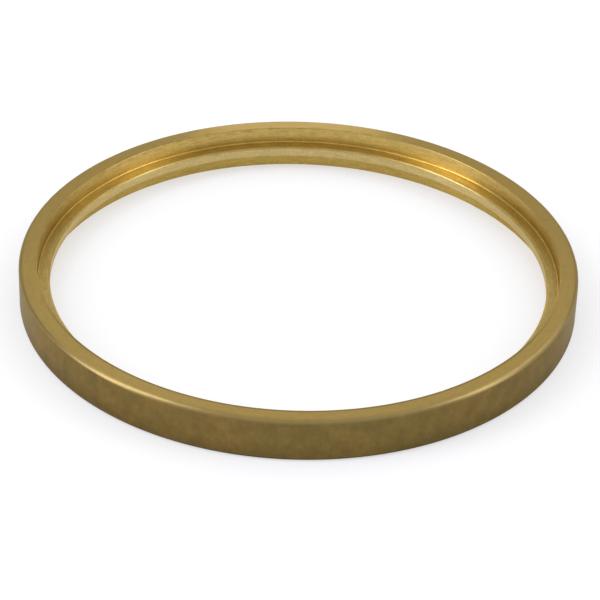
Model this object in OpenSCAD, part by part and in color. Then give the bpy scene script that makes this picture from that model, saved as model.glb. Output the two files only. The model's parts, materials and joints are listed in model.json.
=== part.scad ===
// Spud ring: one turned brass ring. An inward rib at mid height parts an upper and a lower recess.
// Millimetres, +Z up along the ring's axis, origin at the centre of the bottom face.

/* [Bore and rib] */
// Clear diameter through the rib
rib_bore_d = 90.5; // [80:0.5:110]
// How far the rib stands in from the walls of the recesses
rib_reach = 2.25; // [1.5:0.05:4]
// Thickness of the rib between the two recesses
rib_t = 2.05; // [1.3:0.05:4]

/* [Rim] */
// Thickness of the rim outside the recesses
rim_t = 3.3; // [2:0.1:6]
// Depth of the upper recess, from the top face to the rib
upper_depth = 3.1; // [1.5:0.1:6]
// Depth of the lower recess, from the bottom face to the rib
lower_depth = 3.1; // [1.5:0.1:6]

/* [Edges] */
// Round on the rim's two outer edges
rim_round = 0.9; // [0.2:0.05:1.2]
// Round on the inner edge of the top and bottom faces
mouth_round = 0.12; // [0.05:0.01:0.5]
// Round on the rib's two edges
rib_round = 0.4; // [0.1:0.05:0.6]
// Corner radius left by the tool at the foot of each recess
foot_fillet = 0.3; // [0.1:0.05:0.6]

/* [Hidden] */
$fn = 180;
rib_bore_r = rib_bore_d / 2;
recess_r = rib_bore_r + rib_reach;
outer_r = recess_r + rim_t;
rib_low = lower_depth;
rib_high = lower_depth + rib_t;
ring_h = rib_high + upper_depth;

// A square about the corner at [x, y], less the disc of radius r that touches both of its sides.
// The disc lies in the directions sx and sy. Taken off it rounds an edge, added it fills a corner.
module corner_web(x, y, r, sx, sy) {
    difference() {
        translate([x, y])
            square(2 * r, center = true);
        translate([x + sx * r, y + sy * r])
            circle(r);
    }
}

// Rim and rib with square edges, radius along x and height along y
module plain_section() {
    translate([recess_r, 0])
        square([rim_t, ring_h]);
    translate([rib_bore_r, rib_low])
        square([rib_reach + rim_t, rib_t]);
}

// The turned section with its rounded edges and the fillets at the foot of each recess
module ring_section() {
    difference() {
        union() {
            plain_section();
            corner_web(recess_r, rib_high, foot_fillet, -1, 1);
            corner_web(recess_r, rib_low, foot_fillet, -1, -1);
        }
        corner_web(outer_r, ring_h, rim_round, -1, -1);
        corner_web(outer_r, 0, rim_round, -1, 1);
        corner_web(recess_r, ring_h, mouth_round, 1, -1);
        corner_web(recess_r, 0, mouth_round, 1, 1);
        corner_web(rib_bore_r, rib_high, rib_round, 1, -1);
        corner_web(rib_bore_r, rib_low, rib_round, 1, 1);
    }
}

module spud_ring() {
    color([0.71, 0.56, 0.27])
        rotate_extrude()
            ring_section();
}

spud_ring();
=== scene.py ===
import json
import math
import random

import bpy
from mathutils import Matrix, Vector


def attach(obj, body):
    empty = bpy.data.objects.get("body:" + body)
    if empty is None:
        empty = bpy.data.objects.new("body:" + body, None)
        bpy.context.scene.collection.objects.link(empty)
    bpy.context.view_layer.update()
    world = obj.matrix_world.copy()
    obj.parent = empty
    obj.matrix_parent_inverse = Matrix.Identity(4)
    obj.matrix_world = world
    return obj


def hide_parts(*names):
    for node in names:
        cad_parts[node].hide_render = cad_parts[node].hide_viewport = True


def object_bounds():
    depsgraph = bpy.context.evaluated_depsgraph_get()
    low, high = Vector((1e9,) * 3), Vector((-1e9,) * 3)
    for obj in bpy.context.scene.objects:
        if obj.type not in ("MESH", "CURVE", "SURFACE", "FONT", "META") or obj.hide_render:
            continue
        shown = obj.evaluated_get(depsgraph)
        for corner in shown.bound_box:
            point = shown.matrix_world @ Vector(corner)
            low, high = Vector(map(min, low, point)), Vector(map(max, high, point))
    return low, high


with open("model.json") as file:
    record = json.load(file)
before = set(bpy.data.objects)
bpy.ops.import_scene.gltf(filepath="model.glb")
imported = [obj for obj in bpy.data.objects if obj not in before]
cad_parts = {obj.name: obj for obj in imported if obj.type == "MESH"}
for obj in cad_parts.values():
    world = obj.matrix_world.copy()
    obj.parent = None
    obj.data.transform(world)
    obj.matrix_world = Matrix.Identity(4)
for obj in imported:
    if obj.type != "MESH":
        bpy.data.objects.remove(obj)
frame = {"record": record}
cad_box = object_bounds()

MM = 0.001

# Sizes of the ring, read from the frame's box and from the record's mounts
mounts = {m["name"]: m for m in frame["record"]["mounts"]}
RIM_R = cad_box[1][0]
RING_H = cad_box[1][2]
RECESS_R = mounts["upper_recess"]["dims"]["r_mm"] * MM
RIB_R = mounts["rib_bore"]["dims"]["r_mm"] * MM
UPPER_SEAT_Z = mounts["upper_seat"]["pos_m"][2]
LOWER_SEAT_Z = mounts["lower_seat"]["pos_m"][2]

# Edges of the turned section
RIM_ROUND = 0.9 * MM
MOUTH_ROUND = 0.12 * MM
RIB_ROUND = 0.4 * MM
FOOT_FILLET = 0.3 * MM

# Fineness of the lathed mesh
TURN_STEPS = 640
ARC_STEPS = 7
FLAT_STEP = 0.5 * MM
FLAT_END = 0.03 * MM

# Knocks on the mouth of the upper recess: deeper ones at the back and faint ones elsewhere.
# Angles and half widths are in degrees.
KNOCK_SEED = 7
KNOCK_REACH = 0.45 * MM
BACK_KNOCKS = {"count": 18, "first": 70, "last": 145,
               "half_width": (0.25, 0.9), "depth": (0.03 * MM, 0.11 * MM)}
OTHER_KNOCKS = {"count": 14, "first": 145, "last": 430,
                "half_width": (0.3, 0.8), "depth": (0.01 * MM, 0.03 * MM)}


# The turned section, as points of radius and height

def arc(centre, radius, start, end):
    """Points of a quarter round about a centre, from one angle to the other in degrees."""
    points = []
    for i in range(ARC_STEPS + 1):
        a = math.radians(start + (end - start) * i / ARC_STEPS)
        points.append((centre[0] + radius * math.cos(a), centre[1] + radius * math.sin(a)))
    return points


def flat(start, end):
    """Points between two arcs, with one close to each end so that the flat shades flat."""
    start, end = Vector(start), Vector(end)
    length = (end - start).length
    steps = max(2, round(length / FLAT_STEP))
    shares = [FLAT_END / length] + [i / steps for i in range(1, steps)] + [1 - FLAT_END / length]
    return [tuple(start.lerp(end, s)) for s in shares]


def ring_section():
    """The closed section, from the foot of the outer wall upwards, over the top and back below."""
    rim, mouth, rib, foot = RIM_ROUND, MOUTH_ROUND, RIB_ROUND, FOOT_FILLET
    arcs = [
        arc((RIM_R - rim, RING_H - rim), rim, 0, 90),
        arc((RECESS_R + mouth, RING_H - mouth), mouth, 90, 180),
        arc((RECESS_R - foot, UPPER_SEAT_Z + foot), foot, 0, -90),
        arc((RIB_R + rib, UPPER_SEAT_Z - rib), rib, 90, 180),
        arc((RIB_R + rib, LOWER_SEAT_Z + rib), rib, 180, 270),
        arc((RECESS_R - foot, LOWER_SEAT_Z - foot), foot, 90, 0),
        arc((RECESS_R + mouth, mouth), mouth, 180, 270),
        arc((RIM_R - rim, rim), rim, 270, 360),
    ]
    points = []
    for here, after in zip(arcs, arcs[1:] + arcs[:1]):
        points += here + flat(here[-1], after[0])
    return points


# The mesh

def knocks(rng, count, first, last, half_width, depth):
    """Small knocks along an edge: an angle, a half width in radians and a depth for each."""
    return [(math.radians(rng.uniform(first, last)), math.radians(rng.uniform(*half_width)),
             rng.uniform(*depth)) for _ in range(count)]


def knock_at(angle, marks):
    """How deep the edge is pushed in at an angle."""
    deep = 0.0
    for centre, half, depth in marks:
        off = abs((angle - centre + math.pi) % (2 * math.pi) - math.pi) / half
        if off < 1:
            deep = max(deep, depth * (1 - off * off) ** 2)
    return deep


def link(thing):
    """Adds an object to the scene."""
    bpy.context.scene.collection.objects.link(thing)
    return thing


def lathe(name, section, marks):
    """Turns the section about Z, and pushes in the mouth of the upper recess at its knocks."""
    mouth = Vector((RECESS_R, RING_H))
    verts, faces = [], []
    count = len(section)
    for i in range(TURN_STEPS):
        angle = 2 * math.pi * i / TURN_STEPS
        deep = knock_at(angle, marks)
        for r, z in section:
            near = max(0.0, 1 - (Vector((r, z)) - mouth).length / KNOCK_REACH)
            push = deep * near
            out = r + push
            verts.append((out * math.cos(angle), out * math.sin(angle), z - push))
        for j in range(count):
            a, b = i * count + j, i * count + (j + 1) % count
            c = ((i + 1) % TURN_STEPS) * count
            faces.append((a, c + j, c + (j + 1) % count, b))
    mesh = bpy.data.meshes.new(name)
    mesh.from_pydata(verts, [], faces)
    mesh.validate()
    mesh.shade_smooth()
    return link(bpy.data.objects.new(name, mesh))


# Shader expressions

class Link:
    """An output socket that adds Math nodes when it is used in an expression."""

    def __init__(self, tree, socket):
        self.tree, self.socket = tree, socket

    def math(self, operation, *others):
        return self.tree.maths(operation, self, *others)

    def __add__(self, other):
        return self.math("ADD", other)

    def __radd__(self, other):
        return self.math("ADD", other)

    def __mul__(self, other):
        return self.math("MULTIPLY", other)

    def __rmul__(self, other):
        return self.math("MULTIPLY", other)

    def __sub__(self, other):
        return self.math("SUBTRACT", other)

    def __rsub__(self, other):
        return self.tree.maths("SUBTRACT", other, self)

    def __truediv__(self, other):
        return self.math("DIVIDE", other)

    def __rtruediv__(self, other):
        return self.tree.maths("DIVIDE", other, self)

    def __pow__(self, other):
        return self.math("POWER", other)

    def __rpow__(self, other):
        return self.tree.maths("POWER", other, self)


class Placed:
    """A node that has been added, with its outputs by name."""

    def __init__(self, tree, node):
        self.tree, self.bl = tree, node

    def out(self, name=0):
        return Link(self.tree, self.bl.outputs[name])


class Tree:
    """A node tree, of a material or of the world."""

    def __init__(self, owner):
        owner.use_nodes = True
        self.bl = owner.node_tree
        self.bl.nodes.clear()

    def node(self, kind, settings=None, inputs=()):
        """Adds a node, with its settings first and then the values or links of its sockets."""
        node = self.bl.nodes.new(kind)
        for key, value in (settings or {}).items():
            if key == "stops":
                self.set_stops(node.color_ramp, value)
            else:
                setattr(node, key, value)
        pairs = inputs.items() if isinstance(inputs, dict) else enumerate(inputs)
        for key, value in pairs:
            if isinstance(value, Link):
                self.bl.links.new(value.socket, node.inputs[key])
            else:
                node.inputs[key].default_value = value
        return Placed(self, node)

    def set_stops(self, ramp, stops):
        while len(ramp.elements) < len(stops):
            ramp.elements.new(0.5)
        for element, (position, value) in zip(ramp.elements, stops):
            element.position = position
            element.color = (value, value, value, 1)

    def maths(self, operation, *values):
        return self.node("ShaderNodeMath", {"operation": operation}, values).out()

    def ramp(self, value, *stops):
        return self.node("ShaderNodeValToRGB", {"stops": stops}, [value]).out()

    def mix_colour(self, factor, a, b, blend="MIX"):
        settings = {"data_type": "RGBA", "blend_type": blend}
        return self.node("ShaderNodeMix", settings, {0: factor, 6: a, 7: b}).out(2)

    def noise(self, vector, scale, detail, roughness):
        inputs = {"Vector": vector, "Scale": scale, "Detail": detail, "Roughness": roughness}
        return self.node("ShaderNodeTexNoise", {}, inputs).out("Fac")

    def vector(self, x, y, z):
        return self.node("ShaderNodeCombineXYZ", {}, [x, y, z]).out()

    def bump(self, height, strength, distance):
        inputs = {"Strength": strength, "Distance": distance, "Height": height}
        return self.node("ShaderNodeBump", {}, inputs).out()


class OnRing:
    """Where a shaded point lies on the ring, as sockets."""

    def __init__(self, tree):
        self.tree = tree
        self.place = tree.node("ShaderNodeTexCoord").out("Object")
        apart = tree.node("ShaderNodeSeparateXYZ", {}, [self.place])
        self.x, self.y, self.z = apart.out("X"), apart.out("Y"), apart.out("Z")
        self.radius = (self.x * self.x + self.y * self.y) ** 0.5
        # Direction from the axis, and the same as shares from 0 at the left or front to 1
        self.right, self.behind = self.x / self.radius, self.y / self.radius
        self.right_share, self.behind_share = 0.5 + 0.5 * self.right, 0.5 + 0.5 * self.behind
        self.height = self.z / RING_H
        # Millimetres across the turning lines, on flat faces and on walls alike
        self.across = (self.radius + LINES_ON_WALLS * self.z) / MM
        # Each goes from 0 to 1 over the width of its edge
        self.rim_round = (self.radius - (RIM_R - RIM_ROUND)) / RIM_ROUND
        self.rib_round = (self.radius - RIB_R) / RIB_ROUND
        self.foot_fillet = (RECESS_R - self.radius) / FOOT_FILLET

    def turned_noise(self, scale, detail, roughness, changes=1.0):
        """Noise in lines round the ring. The more changes, the shorter the lines."""
        vector = self.tree.vector(self.across, changes * self.right, changes * self.behind)
        return self.tree.noise(vector, scale, detail, roughness)


# Finishes

BRIGHT_BRASS = (0.590, 0.416, 0.132, 1)
WARM_BRASS = (0.605, 0.411, 0.116, 1)
DULL_BRASS = (0.455, 0.316, 0.100, 1)
PALE_BRASS = (0.585, 0.460, 0.225, 1)
RIB_BRASS = (0.555, 0.408, 0.166, 1)
SEAT_BRASS = (0.655, 0.466, 0.150, 1)
# Brighter brass painted as highlight lines on the rib's upper round and on the recess fillet
EDGE_HIGHLIGHT_BRASS = (0.660, 0.445, 0.102, 1)
# Darker brass painted as shade on the faces below the rib
SHADED_LOW_BRASS = (0.480, 0.326, 0.084, 1)
SKIN_BROWN = (0.215, 0.139, 0.041, 1)
SKIN_OLIVE = (0.184, 0.128, 0.039, 1)
SKIN_RUST = (0.222, 0.141, 0.045, 1)
SKIN_GREY = (0.158, 0.122, 0.052, 1)
# Brown of the scuffs, and of the painted shade line at the front of the mouth
SCUFF_AND_SHADE_BROWN = (0.300, 0.200, 0.050, 1)
INSIDE_TINT = (0.98, 1.005, 1.01, 1)
EDGE_TINT = (0.90, 0.84, 0.70, 1)

# Noise scales of the turned lines, per millimetre across them
FINE_LINES, BROAD_LINES, SCUFF_LINES, STAIN_LINES = 9.0, 2.2, 3.2, 1.7
SCUFF_CHANGES, STAIN_CHANGES = 6.0, 9.0
LINES_ON_WALLS = 1.37

# Noise scales of the other patterns, per metre
CLOUDS, PATCHES, BLOTCHES, GRAINS, STREAKS, SPECKS = 60.0, 160.0, 420.0, 900.0, 1500.0, 2600.0
STREAK_STRETCH = 0.5

# How far the scuffs and the painted line of shade reach from the mouth of the upper recess
SCUFF_DEPTH = 1.3 * MM
SCUFF_REACH = 0.5 * MM
EDGE_SHADE_REACH = 0.6 * MM

# Relief of the turning lines and of the pits in the skin
GROOVE_STRENGTH, GROOVE_DEPTH = 0.10, 0.02 * MM
PIT_STRENGTH, PIT_DEPTH = 0.12, 0.03 * MM

# The turning lines draw reflections out across them
TURNED_GLOSS = {"Anisotropic": 0.82, "Anisotropic Rotation": 0.25}


def skin_share(tree, at):
    """1 on the outer wall and the foot's round, 0 on the cut faces, changing on the top round."""
    by_top = tree.ramp(at.rim_round, (0.32, 0), (0.70, 0.50), (0.92, 0.74), (0.995, 1))
    by_foot = tree.ramp(at.rim_round, (0.0, 0), (0.3, 1))
    by_foot = by_foot * tree.ramp(at.z / RIM_ROUND, (0.8, 1), (1.0, 0))
    return by_top.math("MAXIMUM", by_foot)


def brasses(tree, at):
    """How far each face and edge takes a brass of its own, in the order they are laid on."""
    upper = tree.ramp(at.height, (0.5, 0), (0.52, 1))
    # Painted shade: the faces below the rib take a darker brass, as if shaded under the rib.
    low = tree.ramp(at.height, (0.34, 1), (0.38, 0))
    low = low * tree.ramp((RIM_R - RIM_ROUND - at.radius) / MM, (0.0, 0), (0.1, 1))
    rib_face = tree.ramp(at.rib_round, (0.02, 1), (0.16, 0.4), (1.0, 0))
    # Painted highlight: a brighter brass line on the rib's upper round, and below on the fillet at
    # the foot of the recess wall.
    rib_highlight = upper * tree.ramp(at.rib_round, (0.12, 0), (0.22, 1), (0.42, 1), (0.62, 0))
    rim_round = tree.ramp(at.rim_round, (0.2, 0), (0.8, 0.6))
    seat = tree.ramp(at.foot_fillet, (0.4, 0), (1.0, 1))
    seat = seat * tree.ramp(at.rib_round, (0.6, 0), (1.0, 1))
    fillet = upper * tree.ramp(at.foot_fillet, (0.0, 0), (0.12, 1), (0.7, 1), (0.9, 0))
    return [(low, SHADED_LOW_BRASS), (rib_face, RIB_BRASS), (rib_highlight, EDGE_HIGHLIGHT_BRASS),
            (rim_round, PALE_BRASS), (seat, SEAT_BRASS), (fillet, EDGE_HIGHLIGHT_BRASS)]


def stain_inside(tree, at, colour):
    """Stains along the turning lines and fine specks on the walls inside, and their tint."""
    inside = tree.ramp((RECESS_R + MOUTH_ROUND - at.radius) / MOUTH_ROUND, (0.5, 0), (0.95, 1))
    stains = at.turned_noise(STAIN_LINES, 4.0, 0.65, STAIN_CHANGES)
    stains = tree.ramp(stains, (0.34, 0.88), (0.66, 1.10))
    specks = tree.ramp(tree.noise(at.place, SPECKS, 2.0, 0.6), (0.34, 1.09), (0.66, 0.91))
    colour = tree.mix_colour(inside, colour, stains * specks, "MULTIPLY")
    return tree.mix_colour(inside, colour, INSIDE_TINT, "MULTIPLY")


def scuff_and_shade_mouth(tree, at, colour):
    """Brown scuffs along the mouth of the upper recess, and a painted dark line of shade along its
    front edge.
    """
    past_wall = at.radius - RECESS_R
    by_mouth = tree.ramp((at.z - (RING_H - SCUFF_DEPTH)) / SCUFF_DEPTH, (0.0, 0), (0.5, 1))
    by_mouth = by_mouth * tree.ramp(past_wall / SCUFF_REACH, (0.0, 1), (1.0, 0))
    by_mouth = by_mouth * tree.ramp(at.right_share, (0.50, 1), (0.62, 0.3))
    scuffs = at.turned_noise(SCUFF_LINES, 3.0, 0.6, SCUFF_CHANGES)
    scuffs = tree.ramp(scuffs, (0.52, 0), (0.66, 0.75))
    colour = tree.mix_colour(scuffs * by_mouth, colour, SCUFF_AND_SHADE_BROWN)
    # Painted shade: a dark brown line on the top face along the front edge of the mouth.
    front_edge_shade = tree.ramp(past_wall / EDGE_SHADE_REACH, (0.5, 1), (1.0, 0))
    front_edge_shade = front_edge_shade * tree.ramp(at.height, (0.96, 0), (0.99, 1))
    front_edge_shade = front_edge_shade * tree.ramp(at.behind_share, (0.2, 0.8), (0.36, 0))
    return tree.mix_colour(front_edge_shade, colour, SCUFF_AND_SHADE_BROWN)


def cut_colour(tree, at, fine, grains):
    """Bright brass in turning lines, with its stains and scuffs, painted highlight lines on two
    edges, and painted shade below the rib and along the front of the mouth.
    """
    broad = at.turned_noise(BROAD_LINES, 2.0, 0.5)
    colour = tree.mix_colour(tree.ramp(broad, (0.35, 0), (0.65, 1)), BRIGHT_BRASS, WARM_BRASS)
    colour = tree.mix_colour(tree.ramp(fine, (0.45, 0), (0.75, 0.6)), colour, DULL_BRASS)
    colour = tree.mix_colour(tree.ramp(grains, (0.48, 0), (0.75, 0.45)), colour, DULL_BRASS)
    for share, brass in brasses(tree, at):
        colour = tree.mix_colour(share, colour, brass)
    return scuff_and_shade_mouth(tree, at, stain_inside(tree, at, colour))


def skin_colour(tree, at, clouds, patches, grains):
    """Brown skin in olive clouds, rusty patches and grey grains, darkened towards the foot by
    painted contact shade.
    """
    streaks = tree.noise(tree.vector(at.x, at.y, at.z * STREAK_STRETCH), STREAKS, 3.0, 0.65)
    blotches = tree.noise(at.place, BLOTCHES, 3.0, 0.6)
    colour = tree.mix_colour(tree.ramp(clouds, (0.38, 0), (0.62, 1)), SKIN_BROWN, SKIN_OLIVE)
    colour = tree.mix_colour(tree.ramp(patches, (0.52, 0), (0.70, 0.7)), colour, SKIN_RUST)
    colour = tree.mix_colour(tree.ramp(grains, (0.48, 0), (0.76, 0.65)), colour, SKIN_GREY)
    # Painted shade: a dark band of contact shadow at the foot, fading out up the lower half of the
    # wall.
    foot_shade = tree.ramp(at.height, (0.0, 0.28), (0.055, 0.32), (0.09, 0.74), (0.45, 1))
    mottle = tree.ramp(streaks, (0.30, 0.93), (0.70, 1.07))
    mottle = mottle * tree.ramp(blotches, (0.32, 0.90), (0.68, 1.12))
    return tree.mix_colour(1.0, colour, foot_shade * mottle, "MULTIPLY")


def metal(tree, colour, roughness, normal, gloss):
    inputs = {"Base Color": colour, "Metallic": 1.0, "Roughness": roughness, "Normal": normal,
              "Specular Tint": EDGE_TINT}
    return tree.node("ShaderNodeBsdfPrincipled", {}, {**inputs, **gloss}).out()


def turned_brass():
    """Brass, bright where the tool last cut it and with a dull brown skin on the outer wall."""
    material = bpy.data.materials.new("turned_brass")
    tree = Tree(material)
    at = OnRing(tree)
    fine = at.turned_noise(FINE_LINES, 3.0, 0.6)
    clouds = tree.noise(at.place, CLOUDS, 3.0, 0.6)
    patches = tree.noise(at.place, PATCHES, 3.0, 0.55)
    grains = tree.noise(at.place, GRAINS, 2.0, 0.6)

    cut = cut_colour(tree, at, fine, grains)
    grooves = tree.bump(fine, GROOVE_STRENGTH, GROOVE_DEPTH)
    bright = metal(tree, cut, 0.25 + 0.08 * fine + 0.05 * patches, grooves, TURNED_GLOSS)

    skin = skin_colour(tree, at, clouds, patches, grains)
    pits = tree.bump(grains, PIT_STRENGTH, PIT_DEPTH)
    dull = metal(tree, skin, 0.36 + 0.16 * clouds, pits, {})

    surface = tree.node("ShaderNodeMixShader", {}, [skin_share(tree, at), bright, dull]).out()
    tree.node("ShaderNodeOutputMaterial", {}, {"Surface": surface})
    return material


# The ring

rng = random.Random(KNOCK_SEED)
edge_marks = knocks(rng, **BACK_KNOCKS) + knocks(rng, **OTHER_KNOCKS)
ring = lathe("turned_ring", ring_section(), edge_marks)
ring.data.materials.append(turned_brass())
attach(ring, "root")
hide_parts("spud_ring")


# The studio

WHITE = (1, 1, 1, 1)
FLOOR_SIZE = 3.0
FLOOR_GREY = (0.50, 0.50, 0.50, 1)
FLOOR_LIFT = 0.51


def seen_directly(tree):
    """1 for rays from the camera and for rays that metal or glass sends on, else 0."""
    path = tree.node("ShaderNodeLightPath")
    seen = path.out("Is Camera Ray").math("MAXIMUM", path.out("Is Glossy Ray"))
    return seen.math("MAXIMUM", path.out("Is Transmission Ray"))


def studio_floor():
    """A pale floor that takes the ring's shadow, lifted to white for what sees it directly."""
    mesh = bpy.data.meshes.new("floor")
    h = FLOOR_SIZE / 2
    mesh.from_pydata([(-h, -h, 0), (h, -h, 0), (h, h, 0), (-h, h, 0)], [], [(0, 1, 2, 3)])
    floor = link(bpy.data.objects.new("floor", mesh))
    material = bpy.data.materials.new("floor_white")
    tree = Tree(material)
    shade = tree.node("ShaderNodeBsdfDiffuse", {}, {"Color": FLOOR_GREY}).out()
    glow = {"Color": WHITE, "Strength": seen_directly(tree) * FLOOR_LIFT}
    lift = tree.node("ShaderNodeEmission", {}, glow).out()
    surface = tree.node("ShaderNodeAddShader", {}, [shade, lift]).out()
    tree.node("ShaderNodeOutputMaterial", {}, {"Surface": surface})
    mesh.materials.append(material)


LAMP_COLOUR = (0.95, 0.98, 1.18)
LAMP_DISTANCE = 0.8


def soft_box(name, azimuth, elevation, width, height, watts, distance=LAMP_DISTANCE):
    """An area lamp that faces the ring.

    Azimuth 0 is to the right of the camera and 90 is behind the ring.
    """
    lamp = bpy.data.lights.new(name, "AREA")
    lamp.shape = "RECTANGLE"
    lamp.size, lamp.size_y = width, height
    lamp.energy = watts
    lamp.color = LAMP_COLOUR
    box = link(bpy.data.objects.new(name, lamp))
    a, e = math.radians(azimuth), math.radians(elevation)
    towards = Vector((math.cos(e) * math.cos(a), math.cos(e) * math.sin(a), math.sin(e)))
    box.location = distance * towards
    box.rotation_euler = (-box.location).to_track_quat("-Z", "Y").to_euler()


# How light the room is at the sine of an elevation, behind the camera and behind the ring
ROOM_FRONT = (0.02, 0.31), (0.32, 0.43), (0.48, 1.0), (0.62, 1.0), (0.85, 0.54)
ROOM_BACK = (0.02, 0.30), (0.30, 0.38), (0.50, 0.54), (0.85, 0.53)
FILL_LIGHT = 0.85


def studio_world():
    """A room for metal to show, dim near the floor and grey overhead, and white to the camera.

    What it adds as fill light is even, with a strength of its own.
    """
    world = bpy.data.worlds.new("studio")
    bpy.context.scene.world = world
    tree = Tree(world)
    way = tree.node("ShaderNodeTexCoord").out("Generated")
    apart = tree.node("ShaderNodeSeparateXYZ", {}, [way])
    front = tree.ramp(apart.out("Z"), *ROOM_FRONT)
    behind = tree.ramp(apart.out("Z"), *ROOM_BACK)
    walls = front + (behind - front) * (0.5 + 0.5 * apart.out("Y"))
    path = tree.node("ShaderNodeLightPath")
    room = walls + path.out("Is Camera Ray") * (1 - walls)
    strength = FILL_LIGHT + seen_directly(tree) * (room - FILL_LIGHT)
    back = tree.node("ShaderNodeBackground", {}, {"Color": WHITE, "Strength": strength}).out()
    tree.node("ShaderNodeOutputWorld", {}, {"Surface": back})


studio_floor()
studio_world()
soft_box("left_box", 198, 32, width=0.30, height=0.92, watts=2.25)
soft_box("low_box", 190, 10, width=0.32, height=0.24, watts=0.7)
soft_box("right_box", -10, 28, width=0.28, height=0.70, watts=1.2)
soft_box("side_box", 22, 28, width=0.35, height=0.60, watts=0.36)
soft_box("back_box", 91, 23, width=0.05, height=0.04, watts=0.011, distance=0.22)


# The camera, placed about the centre of the ring's bottom face

CAMERA_ELEVATION = math.radians(33.37)
CAMERA_ROLL = math.radians(-1.83)
CAMERA_DISTANCE = 9.403 * RIM_R
CAMERA_ASIDE = Vector((0.4 * MM, -0.85 * MM, 0))
CAMERA_LENS = 156.0
CAMERA_SENSOR = 36.0

lens = bpy.data.cameras.new("camera")
lens.sensor_width = CAMERA_SENSOR
lens.lens = CAMERA_LENS
camera = link(bpy.data.objects.new("camera", lens))
raised = Matrix.Rotation(math.pi / 2 - CAMERA_ELEVATION, 4, "X")
rolled = Matrix.Rotation(-CAMERA_ROLL, 4, "Z")
moved_out = Matrix.Translation(CAMERA_ASIDE + Vector((0, 0, CAMERA_DISTANCE)))
camera.matrix_world = raised @ rolled @ moved_out
bpy.context.scene.camera = camera
bpy.context.scene.view_settings.view_transform = "Standard"
